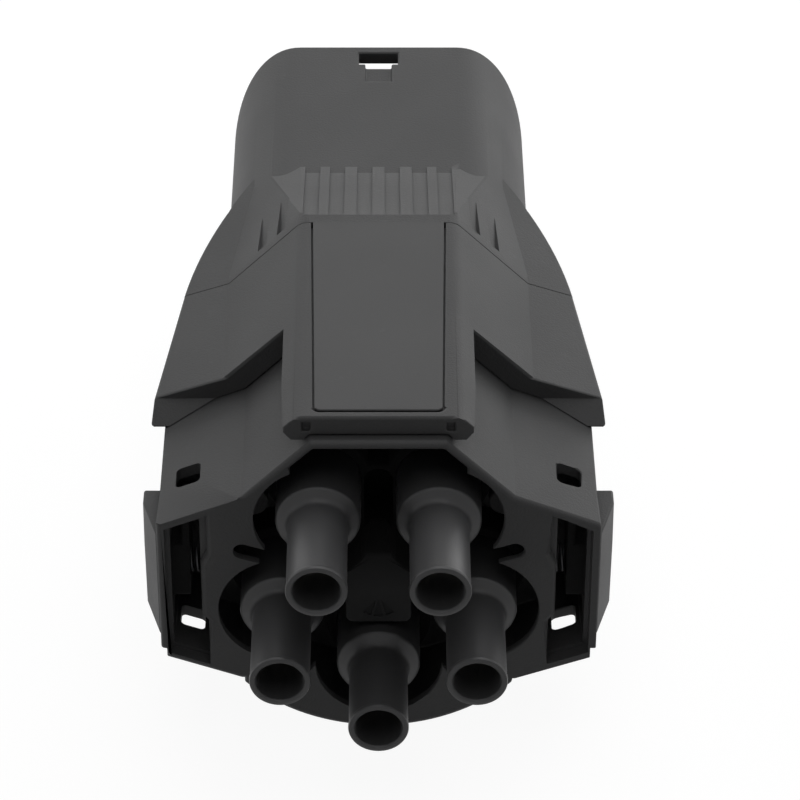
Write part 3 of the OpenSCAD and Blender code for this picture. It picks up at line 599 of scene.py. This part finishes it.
def round_edges(piece, width_mm, turn=28, steps=2, room=2.2, where=None):
    """Bevels edges that turn by more than turn degrees, between faces over room bevels wide"""
    marked = mark_edges(piece, width_mm, turn, room, where)
    places = kdtree.KDTree(len(piece.data.vertices))
    for vertex in piece.data.vertices:
        places.insert(vertex.co, vertex.index)
    places.balance()
    before = places, folds(piece.data) + crossings(piece.data)
    dropped, wider = 0, 1
    while marked > dropped:
        kept = piece.data.copy()
        bevel_marked(piece, width_mm, steps)
        found = faults(piece.data, before, width_mm)
        if not found:
            bpy.data.meshes.remove(kept)
            break
        wrong, piece.data = piece.data, kept
        bpy.data.meshes.remove(wrong)
        lost = unmark(piece.data, found, wider)
        dropped += lost
        wider = 1 if lost else 2 * wider
    print(piece.name, "bevel", width_mm, "on", marked - dropped, "edges,", dropped, "left sharp,",
          len(piece.data.polygons), "faces")


print("every bevel is tested before it stays")

# %% [markdown]
# ## Finishing a piece
# Weighted normals let the large flat faces decide the shading, so a face looks flat up to its
# bevel. Then the piece gets its finish, the named one or else its slot's, and the body that it
# moves with, and the CAD nodes that it stands for are hidden.

# %% Finish a piece
def dress(piece, body, slot, *nodes, smooth=None, finish=None):
    """Shading, finish and body, and hides the CAD nodes that the piece stands for"""
    alone(piece)
    if smooth:
        bpy.ops.object.shade_smooth_by_angle(angle=math.radians(smooth))
    bpy.ops.object.modifier_add(type="WEIGHTED_NORMAL")
    shading = piece.modifiers[-1]
    shading.weight = 100
    shading.keep_sharp = True
    bpy.ops.object.modifier_apply(modifier=shading.name)
    piece.data.materials.clear()
    piece.data.materials.append(materials[finish or slot])
    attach(piece, body)
    if nodes:
        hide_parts(*nodes)
    print(piece.name, "rides on", body)


print("finishes to choose from:", len(materials))

# %% [markdown]
# ## The contact frame
# Its outer front edge is the softest edge on the real adapter: it guides it into the socket, and
# hands rub it. It gets a wide bevel first, then the other edges a narrow one. Whether an edge lies
# on the outside is told by the faces beside it: they look away from the contact ring's axis.

# %% Round the contact frame
OUTWARD, FRONT_MM = 0.6, 0.5


def on_outside(edge):
    middle = (edge.verts[0].co + edge.verts[1].co) / 2
    away = middle - at(0, 0, 0)
    away.y = 0
    return max(face.normal.dot(away.normalized()) for face in edge.link_faces) > OUTWARD


def at_front(edge):
    return all(v.co.y < plate_y + FRONT_MM * MM for v in edge.verts)


frame_shell = merged_copy("contact_frame", "contact_frame_moulded")
round_edges(frame_shell, width_mm=0.9, steps=3, room=1.4,
            where=lambda edge: at_front(edge) and on_outside(edge))
round_edges(frame_shell, width_mm=0.3)
dress(frame_shell, "adapter", "charcoal", "contact_frame")

# %% [markdown]
# ## The cover
# The cover's skirts and its tongue are worn by hands, so its outer edges are softer than the rest.
# The seam between cover and rear shell is a fine line, so its edges are left to the narrow bevel.

# %% Round the cover
LEVEL_MM = 0.05
seam_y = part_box("front_cover")[1].y


def at_seam(edge):
    return all(abs(v.co.y - seam_y) < LEVEL_MM * MM for v in edge.verts)


cover = merged_copy("front_cover", "front_cover_moulded")
round_edges(cover, width_mm=0.5, where=lambda edge: on_outside(edge) and not at_seam(edge))
round_edges(cover, width_mm=0.2)
dress(cover, "adapter", "charcoal", "front_cover")

# %% [markdown]
# ## The rear shell
# The ridges between the shoulder's ramp and its corner facets are blended softly, so they get a
# wide bevel of their own, though they turn by little. They are found by where they lie behind the
# seam, to the side and in height. The seam's edges are hardly broken, and behind the label plate
# not at all, because no seam shows there.

# %% Round the rear shell
RIDGE_BEHIND_MM, RIDGE_SIDE_MM, RIDGE_UP_MM = (2.8, 33), (13.5, 24), 24
top_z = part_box("label_plate")[1].z


def behind_label(edge):
    return at_seam(edge) and all(abs(v.co.z - top_z) < LEVEL_MM * MM for v in edge.verts)


def between(low_high, value):
    return low_high[0] < value < low_high[1]


def on_ridge(edge):
    """Whether an edge parts the ramp, above or below, from a corner facet"""
    middle = (edge.verts[0].co + edge.verts[1].co) / 2
    return (between(RIDGE_BEHIND_MM, (middle.y - seam_y) / MM)
            and between(RIDGE_SIDE_MM, abs(middle.x) / MM)
            and abs(middle.z - ring_z) / MM > RIDGE_UP_MM and on_outside(edge))


rear = merged_copy("rear_shell", "rear_shell_moulded")
round_edges(rear, width_mm=1.6, turn=11, steps=4, room=1.1, where=on_ridge)
round_edges(rear, width_mm=0.35, where=lambda edge: not at_seam(edge))
round_edges(rear, width_mm=0.15, where=lambda edge: at_seam(edge) and not behind_label(edge))
dress(rear, "adapter", "charcoal", "rear_shell")

# %% [markdown]
# ## Label plate, insulator and buttons
# These are smaller mouldings, so one narrow bevel does for each. The buttons are made in a loop,
# because the right one is the left one's mirror image. Their wedge outside is charcoal like the
# shells, and their finish paints shade onto their part inside the channel.

# %% Round the small mouldings
plate = merged_copy("label_plate", "label_plate_smooth")
round_edges(plate, width_mm=0.2, where=lambda edge: not behind_label(edge))
dress(plate, "adapter", "label", "label_plate")
hub = merged_copy("insulator_block", "insulator_moulded")
round_edges(hub, width_mm=0.35)
dress(hub, "adapter", "insulator", "insulator_block")
for side in ("left", "right"):
    button = merged_copy(side + "_button", side + "_button_moulded")
    round_edges(button, width_mm=0.4)
    dress(button, side + "_button", "charcoal", side + "_button", finish="button")

# %% [markdown]
# ## Contact tubes
# Each contact stands in a plastic tube that keeps fingers off it. Such a tube is a body of
# revolution, so it is made as on a lathe: a circle is pulled along the axis in short steps and made
# wider or narrower at each, until the profile closes on itself, and its two ends are merged.

# %% Turn a profile around the Y axis
CLOSED_MM = 0.005


def turned(name, profile, around=72):
    """profile is a closed list of radius and place along Y, in millimetres"""
    bpy.ops.object.select_all(action="DESELECT")
    bpy.ops.mesh.primitive_circle_add(vertices=around, radius=profile[0][0] * MM,
                                      rotation=(math.radians(90), 0, 0))
    piece = bpy.context.object
    piece.name = name
    bpy.ops.object.transform_apply(rotation=True)
    bpy.ops.object.mode_set(mode="EDIT")
    bpy.ops.mesh.select_all(action="SELECT")
    bpy.ops.transform.translate(value=(0, profile[0][1] * MM, 0))
    for (r0, y0), (r1, y1) in zip(profile, profile[1:] + profile[:1]):
        bpy.ops.mesh.extrude_region_move(
            TRANSFORM_OT_translate={"value": (0, (y1 - y0) * MM, 0)})
        bpy.ops.transform.resize(value=(r1 / r0, 1, r1 / r0), center_override=(0, y1 * MM, 0))
    bpy.ops.mesh.select_all(action="SELECT")
    bpy.ops.mesh.remove_doubles(threshold=CLOSED_MM * MM)
    bpy.ops.mesh.normals_make_consistent(inside=False)
    bpy.ops.object.mode_set(mode="OBJECT")
    return piece


def moved_copy(piece, name, place):
    """A copy with its own mesh, and its place in the mesh"""
    alone(piece)
    bpy.ops.object.duplicate()
    twin = bpy.context.object
    twin.name = name
    twin.location = place
    bpy.ops.object.transform_apply(location=True)
    return twin


print("the lathe is ready")

# %% [markdown]
# ## The tube's profile
# The mouth has a small bead, and the root widens in a hollow curve into the collar, which catches
# the light. Behind the plate the collar ends in a flange, and the bore widens for the socket. The
# bottom tube is 2 mm shorter than the others.

# %% Contact tubes
RING_R = 18.5
TUBES = {"upper_left": 126, "upper_right": 54, "lower_left": 198, "lower_right": 342,
         "bottom": 270}
LONG_TIP, SHORT_TIP = -22.4, -20.4
BORE, BODY, BEAD, COLLAR, FLANGE, SOCKET = 4.2, 5.38, 5.5, 7.7, 8.9, 5.4
FLANGE_Y, END_Y, SOCKET_Y = 20.7, 22.7, 16


def tube_profile(tip):
    """Radius and place along Y from the mouth's bore, over the outside, and back in the bore"""
    mouth = [(BORE, tip + 0.6), (BORE + 0.12, tip + 0.25), (BORE + 0.4, tip), (BEAD - 0.45, tip),
             (BEAD - 0.13, tip + 0.13), (BEAD, tip + 0.45), (BEAD, tip + 0.9), (BODY, tip + 1.15)]
    root = [(BODY, -4.5), (BODY + 0.07, -4.0), (BODY + 0.25, -3.55), (BODY + 0.55, -3.15),
            (BODY + 0.95, -2.9), (COLLAR - 0.55, -2.4), (COLLAR - 0.2, -2.2), (COLLAR, -1.75)]
    inside = [(COLLAR, FLANGE_Y), (FLANGE, FLANGE_Y), (FLANGE, END_Y), (SOCKET, END_Y),
              (SOCKET, SOCKET_Y), (BORE, SOCKET_Y)]
    return mouth + root + inside


for name, angle in TUBES.items():
    turn = math.radians(angle)
    blank = turned("tube_blank", tube_profile(SHORT_TIP if name == "bottom" else LONG_TIP))
    centre = at(RING_R * math.cos(turn), 0, RING_R * math.sin(turn))
    tube = moved_copy(blank, "tube_" + name + "_turned", centre)
    bpy.data.objects.remove(blank)
    dress(tube, "adapter", "tube", "tube_" + name, smooth=40)
    print(tube.name, "at", [round(v / MM, 1) for v in centre])

# %% [markdown]
# ## Button springs
# A small compression spring pushes each side button out. It is wound from wire, so a round section
# is carried along a screw line by the Screw modifier, and both cut ends are closed.

# %% Wind wire
def wound_spring(name, turns, coil_mm, wire_mm, pitch_mm):
    """coil_mm and wire_mm are radii: of the coil's middle line and of the wire"""
    bpy.ops.object.select_all(action="DESELECT")
    bpy.ops.mesh.primitive_circle_add(vertices=12, radius=wire_mm * MM,
                                      location=(0, 0, coil_mm * MM),
                                      rotation=(math.radians(90), 0, 0))
    piece = bpy.context.object
    piece.name = name
    bpy.ops.object.transform_apply(location=True, rotation=True)
    bpy.ops.object.modifier_add(type="SCREW")
    winding = piece.modifiers[-1]
    winding.axis = "X"
    winding.screw_offset = pitch_mm * MM
    winding.iterations = turns
    winding.steps = winding.render_steps = 28
    winding.use_merge_vertices = False
    bpy.ops.object.modifier_apply(modifier=winding.name)
    bpy.ops.object.mode_set(mode="EDIT")
    bpy.ops.mesh.select_all(action="SELECT")
    bpy.ops.mesh.remove_doubles(threshold=WELD_MM * MM)
    bpy.ops.mesh.fill_holes(sides=0)
    bpy.ops.mesh.select_all(action="SELECT")
    bpy.ops.mesh.normals_make_consistent(inside=False)
    bpy.ops.object.mode_set(mode="OBJECT")
    return piece


print("wire can be wound")

# %% [markdown]
# ## The two springs
# Each spring fills the box of the solid that it stands for. Its pitch follows from that length and
# the number of turns. The partition is on the inner side: at the low end of X for the right spring,
# and at the high end for the left one.

# %% Button springs
TURNS, COIL, WIRE, TRAVEL = 6, 2.35, 0.25, 2
for side, sign in (("left", -1), ("right", 1)):
    low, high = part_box(side + "_button_spring")
    length = (high.x - low.x) / MM
    pitch = (length - 2 * WIRE) / TURNS
    blank = wound_spring("spring_blank", TURNS, COIL, WIRE, pitch)
    start = min(v.co.x for v in blank.data.vertices)
    place = (low.x - start, (low.y + high.y) / 2, (low.z + high.z) / 2)
    spring = moved_copy(blank, side + "_button_spring_wound", place)
    bpy.data.objects.remove(blank)
    dress(spring, "adapter", "spring", side + "_button_spring", smooth=60)
    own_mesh(spring)
    print(spring.name, "length", round(length, 2), "pitch", round(pitch, 2))

# %% [markdown]
# ## The floor
# A white floor fills the frame. The camera sees it near white, with the adapter's soft shadow on
# it, while it throws only a little light back at the dark plastic. So its material asks how a ray
# came: straight from the camera, by a reflection or through glass it glows, otherwise it is grey.

# %% Floor
FLOOR_M, GLOW, SHADOW_GREY, BOUNCE_GREY = 6, 0.93, 0.15, 0.30


def grey(level):
    return (level, level, level, 1)


def seen_directly(nodes):
    """1 for rays from the camera, from gloss and through glass"""
    from_camera = nodes.node("LightPath", out="Is Camera Ray")
    from_gloss = nodes.node("LightPath", out="Is Glossy Ray")
    through_glass = nodes.node("LightPath", out="Is Transmission Ray")
    return (from_camera + from_gloss + through_glass).clamp()


bpy.ops.object.select_all(action="DESELECT")
bpy.ops.mesh.primitive_plane_add(size=FLOOR_M, location=(0, 1.0, cad_box[0].z))
floor = bpy.context.object
floor.name = "floor"
paper = Finish("floor_paper")
shadow_side = paper.node("BsdfDiffuse", Color=grey(SHADOW_GREY))
glow = paper.node("Emission", Color=grey(1), Strength=GLOW)
to_camera = paper.node("AddShader", i0=shadow_side, i1=glow)
to_object = paper.node("BsdfDiffuse", Color=grey(BOUNCE_GREY))
both = paper.node("MixShader", i0=seen_directly(paper), i1=to_object, i2=to_camera)
paper.feed(paper.tree.nodes["Material Output"], "Surface", both)
paper.tree.nodes.remove(paper.shader)
floor.data.materials.append(paper.material)
print("floor at Z", round(cad_box[0].z / MM, 2))

# %% [markdown]
# ## Lights
# A wide soft box hangs above and behind, as in the photograph, where the tops are lighter than the
# front. A second one behind draws the sheen on the shoulder's ramp. Two more behind the sides lift
# them, the right one more, and two weak ones, above the camera and low on the left, keep the tubes
# from going black.

# %% Lights
LIGHTS = {
    # name: place in metres, width, height, watts
    "top_box": ((0.10, 0.35, 1.15), 1.0, 0.8, 4.6),
    "rear_box": ((0.15, 1.35, 0.50), 1.8, 0.9, 4.6),
    "right_box": ((0.95, 1.00, 0.40), 0.9, 0.7, 3.4),
    "left_box": ((-0.95, 1.00, 0.40), 0.9, 0.7, 1.7),
    "front_box": ((0.00, -0.50, 1.30), 1.0, 0.8, 1.9),
    "low_box": ((-1.25, -0.10, 0.22), 0.9, 0.4, 0.6),
}
middle = (cad_box[0] + cad_box[1]) / 2
for name, (place, width, height, watts) in LIGHTS.items():
    bpy.ops.object.select_all(action="DESELECT")
    bpy.ops.object.light_add(type="AREA", location=place)
    lamp = bpy.context.object
    lamp.name = name
    lamp.rotation_euler = (middle - Vector(place)).to_track_quat("-Z", "Y").to_euler()
    lamp.data.shape = "RECTANGLE"
    lamp.data.size, lamp.data.size_y = width, height
    lamp.data.energy = watts
print(len(LIGHTS), "soft boxes,", round(sum(light[3] for light in LIGHTS.values()), 1), "W in all")

# %% [markdown]
# ## The sky
# Beyond the floor the camera, gloss and glass see plain white. The same sky lights the object only
# faintly, because at full strength it would wash out the shadows between the tubes.

# %% Sky
FAINT = 0.02
world = bpy.data.worlds.new("studio")
bpy.context.scene.world = world
world.use_nodes = True
sky = Nodes(world.node_tree)
strength = sky.node("MapRange", Value=seen_directly(sky), To_Min=FAINT, To_Max=1.0)
background = world.node_tree.nodes["Background"]
sky.feed(background, "Strength", strength)
sky.feed(background, "Color", grey(1))
bpy.context.scene.view_settings.view_transform = "Standard"
print("sky at", FAINT, "for the object")
